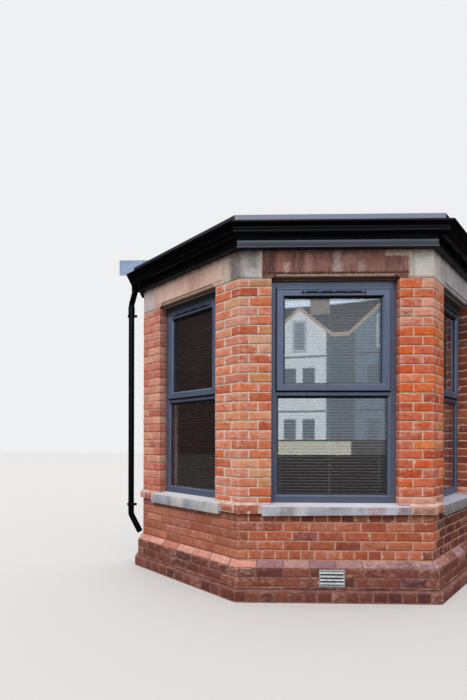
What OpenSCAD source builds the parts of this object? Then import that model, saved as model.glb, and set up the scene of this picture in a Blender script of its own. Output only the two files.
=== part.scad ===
// Single-storey canted bay window with brick walls, stone heads and sills, a flat roof and an ogee gutter.
// The origin is at ground level, midway along the line where the bay meets the house wall.
// X runs along the house wall, Y points into the house, Z is up.

/* [Plan] */
// Width of the front face between its two brick corners
front_face = 1745; // [1500:5:2200]
// How far each canted side runs sideways, and equally far forwards
cant_run = 1027; // [900:1:1200]
// Depth of the short returns that meet the house wall
return_d = 195; // [160:5:260]
// Thickness of the brick wall
wall_t = 225; // [215:5:250]
// Width of the brick beside each window, measured on the face
pier_w = 294; // [260:2:330]

/* [Heights] */
// Height of the ledge at the foot of the wall
ledge_h = 100; // [60:5:140]
// Height of the underside of the splayed plinth course
plinth_h = 298; // [260:1:340]
// Height of the splayed plinth course
splay_h = 57; // [50:1:65]
// Height of one brick course with its joint
course_h = 85; // [75:1:90]
// Number of courses between the plinth and the sills
apron_courses = 5; // [3:1:7]
// Number of courses in the piers
pier_courses = 24; // [18:1:28]
// Height of the stone head course
head_h = 270; // [220:5:320]
// Height of the inner floor
floor_z = 300; // [280:5:320]

/* [Projections] */
// How far the plinth stands out from the wall face
plinth_out = 57; // [40:1:70]
// How far the foot ledge stands out from the wall face
ledge_out = 90; // [75:1:120]
// How far the brick string course stands out
string_out = 34; // [20:1:45]
// How far the sill nose stands out
sill_out = 50; // [35:1:70]

/* [Windows] */
// Depth of the outer reveal in front of the front window's frame
recess = 75; // [50:1:100]
// Depth of the outer reveals in front of the side windows' frames
side_recess = 97; // [50:1:97]
// Depth of the window frame from front to back
frame_d = 70; // [60:5:80]
// Width of the frame's outside face
frame_w = 57; // [45:1:70]
// Height of the transom above the frame's bottom edge
transom_z = 990; // [800:5:1200]
// Spacing of the blind's slats
slat_pitch = 28.7; // [22:0.1:40]
// Tilt of the blind's slats; below zero the edge beside the glass is the higher one
slat_tilt = -17; // [-60:1:60]

/* [Air vent] */
// Distance of the vent's middle from the middle of the front
vent_x = -45; // [-500:5:500]
// Height of the vent's middle above the ground
vent_z = 212; // [190:1:220]
// Width of the vent cover
vent_w = 228; // [200:2:240]
// Height of the vent cover
vent_h = 152; // [130:2:160]

/* [Roof] */
// Depth of the roof joists
joist_h = 156; // [120:1:200]
// How far the front of the fascia stands out from the wall face
fascia_out = 80; // [60:1:110]
// Width of the gutter from front to back
gutter_w = 110; // [100:1:125]
// Height of the gutter
gutter_h = 112; // [90:1:125]

/* [Rainwater pipe] */
// Outer diameter of the downpipe
pipe_d = 68; // [60:1:76]
// Distance of the pipe's centre from the side of the bay
pipe_side = 171; // [150:1:200]
// Distance of the pipe's centre from the house wall
pipe_off = 60; // [50:1:80]

/* [Hidden] */
$fn = 48;

// Sides are numbered from the left return (0) over the front (2) to the right return (4).
LEFT = 1;
FRONT = 2;
RIGHT = 3;
windows = [LEFT, FRONT, RIGHT];

// Plan sizes
mitre = tan(22.5);
half_front = front_face / 2;
half_wall = half_front + cant_run;
projection = return_d + cant_run;
cant_len = cant_run * sqrt(2);
cant_open = round(cant_len - 2 * pier_w);
open_w = [0, cant_open, front_face - 2 * pier_w, cant_open, 0];

// Levels
apron_z = plinth_h + splay_h;
sill_z = apron_z + apron_courses * course_h;
pier_z = sill_z + course_h;
head_z = pier_z + pier_courses * course_h;
open_h = head_z - pier_z;
plate_z = head_z + head_h;
plate_h = 64;
joist_z = plate_z + plate_h;
deck_z = joist_z + joist_h;
deck_t = 18;
cover_t = 4;
cover_z = deck_z + deck_t + cover_t;
board_t = 10;
ceiling_t = 12.5;
scarcement_z = 178;

// Depths into the wall, measured from the outer face
seat_d = 140;
function recess_of(side) = side == FRONT ? recess : side_recess;
function frame_back(side) = recess_of(side) + frame_d;
plaster_t = 15;
inner_face = wall_t + plaster_t;

// Corner points of the outer face, moved outwards by d
function ring(d) = [
    [-half_wall - d, 0], [-half_wall - d, -return_d - d * mitre],
    [-half_front - d * mitre, -projection - d], [half_front + d * mitre, -projection - d],
    [half_wall + d, -return_d - d * mitre], [half_wall + d, 0]];
function side_mid(side) = (ring(0)[side] + ring(0)[side + 1]) / 2;
function side_turn(side) = 45 * (side - 2);
function arc(centre, r, from, to, steps) = [for (i = [0:steps])
    let (a = from + (to - from) * i / steps) centre + r * [cos(a), sin(a)]];
function tail(list) = [for (i = [1:len(list) - 1]) list[i]];

// Strip of the plan between two outlines
module band(d_out, d_in)
    polygon(concat(ring(d_out), [for (i = [5:-1:0]) ring(d_in)[i]]));

module plan_fill(d) polygon(ring(d));

// Local frame of one side: x to the right seen from outside, y into the wall, z up
module on_side(side) translate(side_mid(side)) rotate([0, 0, side_turn(side)]) children();

// A section of [outward distance, height] points, run round the bay and mitred at each corner
module moulding(section) {
    count = len(section);
    function at(corner, i) = corner * count + i % count;
    polyhedron(
        points = [for (corner = [0:5], p = section) concat(ring(p[0])[corner], p[1])],
        faces = concat(
            [[for (i = [count - 1:-1:0]) at(0, i)], [for (i = [0:count - 1]) at(5, i)]],
            [for (corner = [0:4], i = [0:count - 1])
                [at(corner, i), at(corner, i + 1), at(corner + 1, i + 1), at(corner + 1, i)]]));
}

// Slots of the given widths, one through each windowed face of the plan
module face_slots(widths)
    for (side = windows) on_side(side) square([widths[side], 2 * wall_t + 200], center = true);

// The half of the plan on one hand, outside or inside the middle of the canted face
module left_end_zone() translate([-2 * half_wall, -2 * projection])
    square([2 * half_wall - half_front - cant_run / 2, 3 * projection]);
module left_corner_zone() translate([-half_front - cant_run / 2, -2 * projection])
    square([half_front + cant_run / 2, 3 * projection]);

duct_margin = 12;

// Foot of the wall, with the inner ledge that carries the floor and the duct behind the air vent
module plinth_wall() color("rosybrown") difference() {
    scarcement_d = 290;
    union() {
        linear_extrude(height = ledge_h) band(ledge_out, -scarcement_d);
        translate([0, 0, ledge_h]) linear_extrude(height = scarcement_z - ledge_h)
            band(plinth_out, -scarcement_d);
        translate([0, 0, scarcement_z]) linear_extrude(height = plinth_h - scarcement_z)
            band(plinth_out, -wall_t);
    }
    translate([vent_x, -projection, vent_z])
        cube([vent_w - 2 * duct_margin, 2 * wall_t + scarcement_d, vent_h - 2 * duct_margin], center = true);
}

// Louvred cover: a flat rim with sloping blades across it
module air_vent() color("silver") translate([vent_x, -projection - plinth_out, vent_z]) {
    rim = 14;
    rim_d = 7;
    blades = 4;
    blade_t = 3;
    blade_d = 13;
    clear_h = vent_h - 2 * rim;
    translate([0, 0, -vent_h / 2]) difference() {
        translate([-vent_w / 2, -rim_d, 0]) cube([vent_w, rim_d, vent_h]);
        translate([-vent_w / 2 + rim, -2 * rim_d, rim]) cube([vent_w - 2 * rim, 3 * rim_d, clear_h]);
    }
    for (i = [0:blades - 1]) translate([0, 0, -clear_h / 2 + (i + 0.35) * clear_h / blades])
        rotate([90, 0, 90]) linear_extrude(height = vent_w - rim, center = true)
            polygon([[-blade_d, 0], [-blade_d, blade_t], [0, blade_t + blade_d], [0, blade_d]]);
}

module plinth_splay() color("lightpink")
    moulding([[-wall_t, plinth_h], [plinth_out, plinth_h], [0, apron_z], [-wall_t, apron_z]]);

module apron_wall() color("indianred") {
    translate([0, 0, apron_z]) linear_extrude(height = sill_z - apron_z) band(0, -wall_t);
    translate([0, 0, sill_z]) linear_extrude(height = course_h) band(-seat_d, -wall_t);
}

sill_bearing = 84;
sill_len = [for (w = open_w) w + 2 * sill_bearing];

module string_course() color("indianred") {
    fillet_h = 14;
    difference() {
        moulding([[-seat_d, sill_z], [string_out, sill_z], [string_out, pier_z - fillet_h],
            [0, pier_z], [-seat_d, pier_z]]);
        linear_extrude(height = 2 * pier_z) face_slots(sill_len);
    }
}

module sill(side) color("gainsboro") on_side(side) translate([0, 0, sill_z]) {
    nose_h = 65;
    throat_r = 6;
    throat_out = 34;
    len = sill_len[side];
    difference() {
        rotate([90, 0, 90]) linear_extrude(height = len, center = true) mirror([1, 0])
            polygon([[-seat_d, 0], [sill_out, 0], [sill_out, nose_h], [-recess_of(side), course_h],
                [-seat_d, course_h]]);
        translate([0, -throat_out, 0]) rotate([0, 90, 0]) cylinder(r = throat_r, h = len - 60, center = true);
    }
    // Level stools that carry the brickwork at both ends
    for (x = [-len / 2, len / 2 - sill_bearing]) translate([x, 0, 0]) cube([sill_bearing, seat_d, course_h]);
}
module sill_left() sill(LEFT);
module sill_front() sill(FRONT);
module sill_right() sill(RIGHT);

// Wall masonry between slots of the given widths, over one zone of the plan
module masonry(z, h, widths) translate([0, 0, z]) linear_extrude(height = h) intersection() {
    difference() {
        band(0, -wall_t);
        face_slots(widths);
    }
    children();
}

module wall_pier_left() color("indianred") masonry(pier_z, open_h, open_w) left_end_zone();
module wall_pier_right() mirror([1, 0, 0]) wall_pier_left();
module corner_pier_left() color("indianred") masonry(pier_z, open_h, open_w) left_corner_zone();
module corner_pier_right() mirror([1, 0, 0]) corner_pier_left();

lintel_bearing = 88;
lintel_len = [for (w = open_w) w + 2 * lintel_bearing];

// Stone lintel whose lower edge carries an ovolo that runs out at both ends
module lintel(side, tint) color(tint) on_side(side) translate([0, 0, head_z]) {
    mould_h = 49;
    quirk = 7;
    difference() {
        translate([-lintel_len[side] / 2, 0, 0]) cube([lintel_len[side], wall_t, head_h]);
        intersection() {
            rotate([90, 0, 90]) linear_extrude(height = lintel_len[side], center = true) difference() {
                translate([-1, -1]) square([mould_h + 1, mould_h + 1]);
                translate([mould_h, mould_h]) circle(r = mould_h - quirk);
            }
            rotate([90, 0, 0]) linear_extrude(height = 4 * mould_h, center = true) polygon([
                [-open_w[side] / 2, 0], [open_w[side] / 2, 0],
                [open_w[side] / 2 - mould_h, mould_h], [-open_w[side] / 2 + mould_h, mould_h]]);
        }
    }
}
module lintel_left() lintel(LEFT, "mistyrose");
module lintel_front() lintel(FRONT, "rosybrown");
module lintel_right() lintel(RIGHT, "gainsboro");

module end_stone_left() color("gainsboro") masonry(head_z, head_h, lintel_len) left_end_zone();
module end_stone_right() mirror([1, 0, 0]) end_stone_left();
module corner_stone_left() color("dimgray") masonry(head_z, head_h, lintel_len) left_corner_zone();
module corner_stone_right() color("lightgray") mirror([1, 0, 0]) masonry(head_z, head_h, lintel_len)
    left_corner_zone();

window_board_t = 25;

// Plaster on the walls, turned into the reveals as far as the window frames
module wall_plaster() color("whitesmoke") difference() {
    union() {
        translate([0, 0, floor_z]) linear_extrude(height = joist_z - ceiling_t - floor_z)
            band(-wall_t, -inner_face);
        translate([0, 0, pier_z]) linear_extrude(height = open_h) for (side = windows)
            on_side(side) translate([-open_w[side] / 2, frame_back(side)])
                square([open_w[side], inner_face - frame_back(side)]);
    }
    translate([0, 0, pier_z]) linear_extrude(height = window_board_t) face_slots(open_w);
    translate([0, 0, pier_z]) linear_extrude(height = open_h - plaster_t)
        face_slots([for (w = open_w) w - 2 * plaster_t]);
}

module ceiling() color("white") translate([0, 0, joist_z - ceiling_t])
    linear_extrude(height = ceiling_t) plan_fill(-wall_t);

// Floor boards as one panel, on joists that bear on the inner ledge of the wall
module bay_floor() color("burlywood") {
    panel_t = 22;
    joist_w = 50;
    spacing = 400;
    translate([0, 0, floor_z - panel_t]) linear_extrude(height = panel_t) plan_fill(-wall_t);
    translate([0, 0, scarcement_z]) linear_extrude(height = floor_z - panel_t - scarcement_z) intersection() {
        plan_fill(-wall_t);
        for (i = [-4:3]) translate([(i + 0.5) * spacing - joist_w / 2, -2 * projection])
            square([joist_w, 2 * projection]);
    }
}

module window_boards() color("white") for (side = windows) on_side(side) translate([0, 0, pier_z]) {
    horn = 40;
    nosing = 30;
    translate([-open_w[side] / 2, frame_back(side), 0])
        cube([open_w[side], inner_face - frame_back(side), window_board_t]);
    translate([-open_w[side] / 2 - horn, inner_face, 0])
        cube([open_w[side] + 2 * horn, nosing, window_board_t]);
    translate([0, inner_face + nosing, window_board_t / 2]) rotate([0, 90, 0])
        cylinder(d = window_board_t, h = open_w[side] + 2 * horn, center = true);
}

// One frame member along x with 45 degree mitres; the section is drawn as [inward distance, depth]
module member(len) {
    m = 120;
    intersection() {
        rotate([0, -90, 0]) linear_extrude(height = len, center = true) children();
        rotate([90, 0, 0]) linear_extrude(height = 400, center = true)
            polygon([[-len / 2, 0], [len / 2, 0], [len / 2 - m, m], [-len / 2 + m, m]]);
    }
}

// Four mitred members round a rectangle that stands on z = 0
module mitred_ring(w, h) {
    member(w) children();
    translate([0, 0, h]) mirror([0, 0, 1]) member(w) children();
    for (hand = [0, 1]) mirror([hand, 0, 0])
        translate([-w / 2, 0, h / 2]) rotate([0, 90, 0]) member(h) children();
}

// Frame: an outside face with a stop behind it, against which glass and sash close
bead_w = 18;
stop_y = 46;
transom_h = 36;
glass_t = 4;
unit_t = 28;

module frame_section() polygon([[0, 0], [frame_w, 0], [frame_w, stop_y], [frame_w + bead_w, stop_y],
    [frame_w + bead_w, frame_d], [0, frame_d]]);
module bead_section() polygon([[0, 0], [bead_w, 14], [bead_w, stop_y - unit_t], [0, stop_y - unit_t]]);

module window_frame(side) color("slategray") on_side(side) translate([0, recess_of(side), pier_z]) {
    w = open_w[side];
    light_w = w - 2 * frame_w;
    mitred_ring(w, open_h) frame_section();
    // Transom with a stop above and below it
    translate([-light_w / 2, 0, transom_z]) cube([light_w, frame_d, transom_h]);
    translate([-light_w / 2, stop_y, transom_z - bead_w])
        cube([light_w, frame_d - stop_y, transom_h + 2 * bead_w]);
    // Glazing bead of the fixed lower light
    translate([0, 0, frame_w]) mitred_ring(light_w, transom_z - frame_w) bead_section();
}
module frame_left() window_frame(LEFT);
module frame_front() window_frame(FRONT);
module frame_right() window_frame(RIGHT);

// Sash: stands proud of the frame and closes on its stop
sash_gap = 2;
sash_proud = 22;
sash_w = 58;
sash_bead = 16;
sash_glass_y = 8;
head_rail = 18;
sash_z = transom_z + transom_h + sash_gap;
sash_h = open_h - frame_w - sash_gap - sash_z;
function sash_width(side) = open_w[side] - 2 * (frame_w + sash_gap);

module sash_section() polygon([[0, -sash_proud + 6], [6, -sash_proud], [sash_w, -sash_proud],
    [sash_w + sash_bead, -6], [sash_w + sash_bead, sash_glass_y], [sash_w, sash_glass_y],
    [sash_w, sash_glass_y + unit_t], [sash_w + sash_bead, sash_glass_y + unit_t],
    [sash_w + sash_bead, stop_y], [0, stop_y]]);

module sash(side) color("lightslategray") on_side(side) translate([0, recess_of(side), pier_z + sash_z]) {
    w = sash_width(side);
    mitred_ring(w, sash_h - head_rail) sash_section();
    translate([-w / 2, -sash_proud, sash_h - head_rail]) cube([w, sash_proud + stop_y, head_rail]);
}
module sash_left() sash(LEFT);
module sash_front() sash(FRONT);
module sash_right() sash(RIGHT);

// Two panes on each light, held in the grooves of frame and sash
module panes(w, h, y) for (dy = [0, unit_t - glass_t])
    translate([-w / 2, y + dy, 0]) cube([w, glass_t, h]);

module glazing(side) color("lightblue", 0.4) on_side(side) translate([0, recess_of(side), pier_z]) {
    cover = 4;
    inset = sash_w + cover;
    translate([0, 0, frame_w + cover])
        panes(open_w[side] - 2 * (frame_w + cover), transom_z - frame_w - 2 * cover, stop_y - unit_t);
    translate([0, 0, sash_z + inset])
        panes(sash_width(side) - 2 * inset, sash_h - head_rail - 2 * inset, sash_glass_y);
}
module glazing_left() glazing(LEFT);
module glazing_front() glazing(FRONT);
module glazing_right() glazing(RIGHT);

// Slotted vent hoods on the top rails of the sashes
module trickle_vents() color("black") for (side = windows)
    on_side(side) translate([0, recess_of(side) - sash_proud, pier_z + sash_z + sash_h - 44]) {
        vent_w = 580;
        vent_h = 16;
        vent_d = 12;
        slots = 4;
        slot_w = (vent_w - 60) / slots;
        difference() {
            translate([-vent_w / 2, -vent_d, -vent_h / 2]) cube([vent_w, vent_d, vent_h]);
            for (i = [0:slots - 1]) translate([-vent_w / 2 + 30 + (i + 0.5) * slot_w, -vent_d, 0])
                cube([slot_w - 16, 12, 7], center = true);
        }
    }

// Venetian blind: head rail, tilted slats and bottom rail, held together by lift cords
module blind(side) color("silver") on_side(side) translate([0, 185, pier_z]) {
    rail = 25;
    slat_d = 35;
    slat_t = 1;
    cord_t = 2;
    w = open_w[side] - 2 * plaster_t - 16;
    top = open_h - plaster_t - rail;
    low = window_board_t + 12;
    count = floor((top - low - rail) / slat_pitch);
    cord_x = w / 2 - 90;
    translate([-w / 2, -rail / 2, top]) cube([w, rail, rail]);
    translate([-w / 2, -rail / 2, low]) cube([w, rail, 14]);
    for (i = [1:count]) translate([0, 0, top - i * slat_pitch])
        rotate([slat_tilt, 0, 0]) cube([w, slat_d, slat_t], center = true);
    for (x = [-cord_x, 0, cord_x])
        translate([x - cord_t / 2, -cord_t / 2, low]) cube([cord_t, cord_t, top - low]);
}
module blind_left() blind(LEFT);
module blind_front() blind(FRONT);
module blind_right() blind(RIGHT);

// Wall plate on the stone course, with joists that run out to the fascia
module roof_frame() color("burlywood") {
    plate_w = 100;
    joist_w = 47;
    joists = 10;
    first_x = -half_wall + 150;
    step = -2 * first_x / (joists - 1);
    translate([0, 0, plate_z]) linear_extrude(height = plate_h) band(-wall_t + plate_w, -wall_t);
    translate([0, 0, joist_z]) linear_extrude(height = joist_h) intersection() {
        plan_fill(fascia_out - board_t);
        for (i = [0:joists - 1]) translate([first_x + i * step - joist_w / 2, -2 * projection])
            square([joist_w, 2 * projection]);
    }
}

drip_out = 112;
drip_t = 6;

// Boarded deck with the batten that carries the drip edge
module roof_deck() color("tan") {
    batten_drop = 24;
    translate([0, 0, deck_z]) linear_extrude(height = deck_t) plan_fill(fascia_out);
    translate([0, 0, deck_z - batten_drop]) linear_extrude(height = deck_t + batten_drop)
        band(drip_out - drip_t, fascia_out);
}

// Roof skin with a drip that hangs over the gutter
module roof_covering() color("slategray") {
    translate([0, 0, cover_z - cover_t]) linear_extrude(height = cover_t) plan_fill(drip_out);
    kerb_z = cover_z + 10;
    drip_z = deck_z - 33;
    translate([0, 0, drip_z]) linear_extrude(height = kerb_z - drip_z) band(drip_out, drip_out - drip_t);
}

module lead_flashing() color("lightsteelblue") {
    lead_t = 4;
    apron = 150;
    upstand = 203;
    lap = 330;
    side_h = 20;
    translate([-half_wall - 60, -apron, cover_z]) cube([2 * half_wall + 120, apron, lead_t]);
    translate([-half_wall - 60, -lead_t, cover_z]) cube([2 * half_wall + 120, lead_t, upstand]);
    translate([-half_wall - lap, -lead_t, cover_z + side_h])
        cube([2 * (half_wall + lap), lead_t, upstand - side_h]);
}

bed_z = plate_z - 12;
soffit_z = joist_z - board_t;
bed_out = 50;

// Planted board under the eaves with a small bead along its lower edge
bead_r = 7;
module bed_mould() color("slategray") moulding(concat(
    [[0, bed_z]], arc([bed_out, bed_z + bead_r], bead_r, -90, 90, 8),
    [[bed_out, soffit_z], [0, soffit_z]]));

module fascia_soffit() color("black") moulding([
    [0, soffit_z], [fascia_out, soffit_z], [fascia_out, deck_z], [fascia_out - board_t, deck_z],
    [fascia_out - board_t, joist_z], [0, joist_z]]);

// Ogee gutter: a convex curve below, a cove above it and an upright lip
gutter_t = 4;
belly_r = 38;
cove_r = 30;
turn = 25;
lip_h = 15;
belly = [belly_r, belly_r];
cove = belly + (belly_r + cove_r) * [cos(turn), sin(turn)];
lip_z = gutter_h - lip_h;

// Outline of the gutter, or of its trough for a wall of thickness t
function ogee(t, top) = [for (p = concat(
    [[t, t]],
    arc(belly, belly_r - t, -90, turn, 8),
    tail(arc(cove, cove_r + t, 180 + turn, 110, 6)),
    [[gutter_w - t, lip_z + t], [gutter_w - t, top], [t, top]])) p + [fascia_out, soffit_z]];

pipe_r = pipe_d / 2;
pipe_t = 2.5;
bore_r = pipe_r - pipe_t;
outlet_r = pipe_r + 3;
outlet_drop = 34;
outlet_x = -half_wall - fascia_out - belly_r;
outlet_y = -140;

// The gutter is made in three lengths, which meet on the front just inside its corners
gutter_joint = half_front - 90;
module gutter_outside(from_x, to_x) intersection() {
    moulding(ogee(0, gutter_h));
    translate([from_x, -2 * projection, 0]) cube([to_x - from_x, 2 * projection, 2 * plate_z]);
}

// The trough stops short of the wall, which leaves a stop end at each side
module trough() intersection() {
    moulding(ogee(gutter_t, gutter_h + 1));
    translate([-2 * half_wall, -2 * projection - gutter_t, 0])
        cube([4 * half_wall, 2 * projection, 2 * plate_z]);
}

module gutter_left() color("black") difference() {
    union() {
        gutter_outside(-2 * half_wall, -gutter_joint);
        translate([outlet_x, outlet_y, soffit_z - outlet_drop])
            cylinder(r = outlet_r, h = outlet_drop + belly_r / 2);
    }
    trough();
    translate([outlet_x, outlet_y, soffit_z - 2 * outlet_drop])
        cylinder(r = bore_r, h = 2 * outlet_drop + belly_r);
}
module gutter_front() color("black") difference() {
    gutter_outside(-gutter_joint, gutter_joint);
    trough();
}
module gutter_right() color("black") mirror([1, 0, 0]) difference() {
    gutter_outside(-2 * half_wall, -gutter_joint);
    trough();
}

socket_r = pipe_r + 4.5;
pipe_x = -half_wall - pipe_side;
pipe_y = -pipe_off;
offset_len = norm([pipe_x - outlet_x, pipe_y - outlet_y]);
offset_dir = atan2(pipe_y - outlet_y, pipe_x - outlet_x);
bend_r = 60;
neck_turn = 40;
neck_len = (offset_len - 2 * bend_r * (1 - cos(neck_turn))) / sin(neck_turn);
neck_top = soffit_z - outlet_drop;
neck_tail = 45;
neck_foot = neck_top - 2 * bend_r * sin(neck_turn) - neck_len * cos(neck_turn) - neck_tail;

// Stations [x, z, heading from straight down] along a bend that starts at one station
function bend_from(start, radius, to, steps) = [for (i = [0:steps])
    let (a = start[2] + (to - start[2]) * i / steps, s = sign(to - start[2]))
    [start[0] + s * radius * (cos(start[2]) - cos(a)), start[1] - s * radius * (sin(a) - sin(start[2])), a]];
function ahead(station, len) =
    [station[0] + len * sin(station[2]), station[1] - len * cos(station[2]), station[2]];
function last(list) = list[len(list) - 1];

// Hollow round tube through stations in the xz plane
module tube(stations, r_out, r_in) {
    sides = 24;
    end = len(stations) - 1;
    function point(k, i, r) = let (a = 360 * i / sides, tilt = stations[k][2])
        [stations[k][0] + r * cos(a) * cos(tilt), r * sin(a), stations[k][1] + r * cos(a) * sin(tilt)];
    function out(k, i) = k * sides + i % sides;
    function bore(k, i) = out(end + 1 + k, i);
    polyhedron(
        points = [for (r = [r_out, r_in], k = [0:end], i = [0:sides - 1]) point(k, i, r)],
        faces = concat(
            [for (k = [0:end - 1], i = [0:sides - 1])
                [out(k, i), out(k, i + 1), out(k + 1, i + 1), out(k + 1, i)]],
            [for (k = [0:end - 1], i = [0:sides - 1])
                [bore(k, i + 1), bore(k, i), bore(k + 1, i), bore(k + 1, i + 1)]],
            [for (i = [0:sides - 1]) [out(0, i + 1), out(0, i), bore(0, i), bore(0, i + 1)]],
            [for (i = [0:sides - 1]) [out(end, i), out(end, i + 1), bore(end, i + 1), bore(end, i)]]));
}

// Double bend that leads from the gutter's outlet back to the pipe against the wall
module swan_neck() color("black") translate([outlet_x, outlet_y, neck_top]) rotate([0, 0, offset_dir]) {
    upper = bend_from([0, 0, 0], bend_r, neck_turn, 6);
    lower = bend_from(ahead(last(upper), neck_len), bend_r, 0, 6);
    tube(concat(upper, lower, [ahead(last(lower), neck_tail)]), pipe_r, bore_r);
}

shoe_turn = 27;
shoe_r = 90;
shoe_len = 215;
shoe_z = 580;
socket_h = 75;
socket_up = 40;

// Straight pipe with a socket at its top that takes the swan neck
module downpipe() color("black") translate([pipe_x, pipe_y, 0]) difference() {
    union() {
        translate([0, 0, shoe_z]) cylinder(r = pipe_r, h = neck_foot - shoe_z);
        translate([0, 0, neck_foot + socket_up - socket_h]) cylinder(r = socket_r, h = socket_h);
    }
    translate([0, 0, shoe_z - 1]) cylinder(r = bore_r, h = neck_foot - shoe_z + 2);
    translate([0, 0, neck_foot]) cylinder(r = pipe_r + 0.3, h = socket_h);
}

// Bent foot that throws the water clear of the wall
module pipe_shoe() color("black") translate([pipe_x, pipe_y, shoe_z]) {
    foot = bend_from([0, 0, 0], shoe_r, shoe_turn, 6);
    tube(concat(foot, [ahead(last(foot), shoe_len)]), pipe_r, bore_r);
}

// Collars round the pipe, each with a stem and a back plate for the house wall
module pipe_brackets() color("black") for (z = [2940, 665]) translate([pipe_x, pipe_y, z]) difference() {
    band_h = 30;
    plate_w = 116;
    union() {
        cylinder(r = socket_r, h = band_h, center = true);
        translate([-14, 0, -band_h / 2]) cube([28, pipe_off, band_h]);
        translate([-plate_w / 2, pipe_off - 6, -band_h / 2]) cube([plate_w, 6, band_h]);
    }
    cylinder(r = pipe_r, h = 2 * band_h, center = true);
}

plinth_wall();
air_vent();
plinth_splay();
apron_wall();
string_course();
sill_left();
sill_front();
sill_right();
wall_pier_left();
wall_pier_right();
corner_pier_left();
corner_pier_right();
lintel_left();
lintel_front();
lintel_right();
corner_stone_left();
corner_stone_right();
end_stone_left();
end_stone_right();
wall_plaster();
ceiling();
bay_floor();
window_boards();
frame_left();
frame_front();
frame_right();
sash_left();
sash_front();
sash_right();
glazing_left();
glazing_front();
glazing_right();
trickle_vents();
blind_left();
blind_front();
blind_right();
roof_frame();
roof_deck();
roof_covering();
lead_flashing();
bed_mould();
fascia_soffit();
gutter_left();
gutter_front();
gutter_right();
swan_neck();
downpipe();
pipe_shoe();
pipe_brackets();
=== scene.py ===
"""Looks of the canted bay window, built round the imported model. Metres, z up, the house wall at y = 0."""

import math
import random

import bmesh
import bpy
import numpy as np
from mathutils import Matrix, Vector, noise


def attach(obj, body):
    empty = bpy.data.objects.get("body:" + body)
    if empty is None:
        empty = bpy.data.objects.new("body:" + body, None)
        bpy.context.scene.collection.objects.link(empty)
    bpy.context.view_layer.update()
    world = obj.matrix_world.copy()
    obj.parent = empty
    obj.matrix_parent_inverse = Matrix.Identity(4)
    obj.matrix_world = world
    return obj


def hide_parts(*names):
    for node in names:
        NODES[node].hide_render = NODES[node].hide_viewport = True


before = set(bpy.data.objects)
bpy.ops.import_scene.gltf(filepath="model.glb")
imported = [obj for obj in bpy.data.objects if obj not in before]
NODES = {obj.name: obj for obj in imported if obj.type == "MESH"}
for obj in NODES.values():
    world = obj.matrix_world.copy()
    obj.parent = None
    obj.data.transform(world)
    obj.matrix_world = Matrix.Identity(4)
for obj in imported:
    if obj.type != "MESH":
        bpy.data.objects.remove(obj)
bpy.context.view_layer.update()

# ---- sizes shared with the solids
HALF_FRONT, CANT_RUN, RETURN_D, WALL_T, PIER_W = 0.8725, 1.027, 0.195, 0.225, 0.294
HALF_WALL, PROJECTION = HALF_FRONT + CANT_RUN, RETURN_D + CANT_RUN
CANT_LEN = CANT_RUN * math.sqrt(2)
LEDGE_Z, PLINTH_Z, APRON_Z, SILL_Z, PIER_Z = 0.100, 0.298, 0.355, 0.780, 0.865
HEAD_Z, PLATE_Z, COURSE, JOINT = 2.905, 3.175, 0.085, 0.010
PLINTH_OUT, LEDGE_OUT, STRING_OUT = 0.057, 0.090, 0.034
OPEN_W = {"left": 0.864, "front": 1.157, "right": 0.864}
OPEN_H = 2.040
RECESS = {"left": 0.097, "front": 0.075, "right": 0.097}
FRAME_W, TRANSOM_Z, TRANSOM_H, BEAD_W = 0.057, 0.990, 0.036, 0.018
SASH_GAP, SASH_W, SASH_PROUD, HEAD_RAIL = 0.002, 0.074, 0.022, 0.018
HOOD_W, HOOD_D, HOOD_BELOW = 0.580, 0.012, 0.044  # vent hood, and its middle below the top of the sash
SIDES = {"left": -1, "front": 0, "right": 1}
PROUD = 0.003  # how far bricks stand in front of their mortar

# lengths along the wall face, from the cut on the left return to the one on the right
C1 = RETURN_D
C2 = C1 + CANT_LEN
C3 = C2 + 2 * HALF_FRONT
C4 = C3 + CANT_LEN
END = C4 + RETURN_D


def side_matrix(side):
    """Local frame of one windowed side: x to the right seen from outside, y into the wall."""
    if side == 0:
        middle = (0, -PROJECTION, 0)
    else:
        middle = (side * (HALF_FRONT + HALF_WALL) / 2, -(PROJECTION + RETURN_D) / 2, 0)
    return Matrix.Translation(middle) @ Matrix.Rotation(math.radians(45 * side), 4, "Z")


# ---- shader graphs
def srgb(r, g, b):
    def lin(c):
        c /= 255
        return c / 12.92 if c <= 0.04045 else ((c + 0.055) / 1.055) ** 2.4
    return (lin(r), lin(g), lin(b), 1)


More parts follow.
